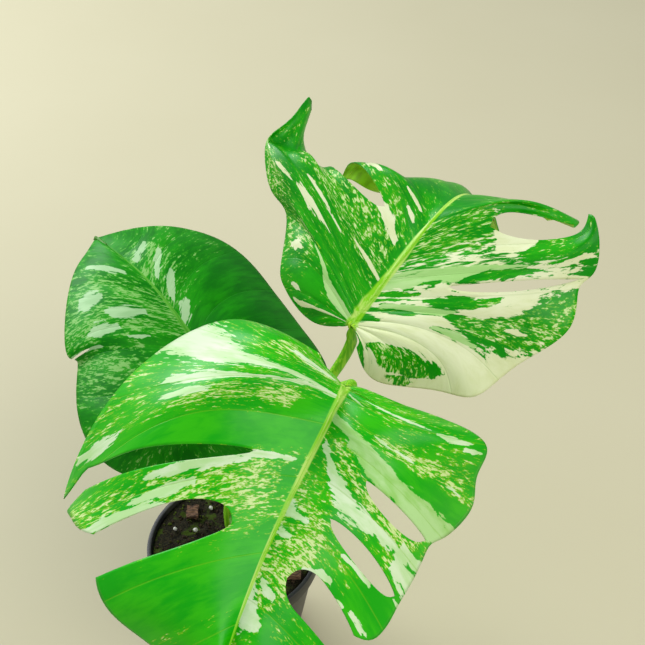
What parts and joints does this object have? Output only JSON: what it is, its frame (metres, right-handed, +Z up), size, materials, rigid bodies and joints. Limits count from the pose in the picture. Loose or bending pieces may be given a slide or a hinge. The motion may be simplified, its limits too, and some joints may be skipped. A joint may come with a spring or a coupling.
{
  "type": "potted monstera plant",
  "caption": "Young variegated monstera in a plain round nursery pot: split, fenestrated leaves on arching stalks from a short stem in potting mix.",
  "frame": {"origin": "centre of the underside of the pot's base", "axes": "+Z up, the object faces -Y, and +X is to the right of someone who looks at it from the front"},
  "size_m": [0.3397, 0.39, 0.4111],
  "materials": {
    "pot_plastic": "satin black moulded plastic",
    "potting_mix": "dark crumbly bark and peat mix with moss",
    "stem_skin": "green brown skin, satin",
    "petiole_skin": "smooth green skin, satin",
    "leaf_front_skin": "glossy bright green leaf with cream variegation",
    "leaf_right_skin": "glossy green leaf, half of it cream",
    "leaf_back_skin": "dark green leaf with pale flecks",
    "root_bark": "rough brown skin",
    "bark": "rough bark",
    "perlite": "chalky white grain"
  },
  "bodies": {
    "root": {"pot": "pot_plastic", "soil": "potting_mix", "stem": "stem_skin", "petiole_front": "petiole_skin", "petiole_right": "petiole_skin", "petiole_back": "petiole_skin", "leaf_front": "leaf_front_skin", "leaf_right": "leaf_right_skin", "leaf_back": "leaf_back_skin", "aerial_root": "root_bark", "bark_chip_1": "bark", "bark_chip_2": "bark", "bark_chip_3": "bark", "bark_chip_4": "bark", "bark_chip_5": "bark", "bark_chip_6": "bark", "perlite_1": "perlite", "perlite_2": "perlite", "perlite_3": "perlite", "perlite_4": "perlite", "perlite_5": "perlite", "perlite_6": "perlite", "perlite_7": "perlite", "perlite_8": "perlite"}
  },
  "joints": []
}
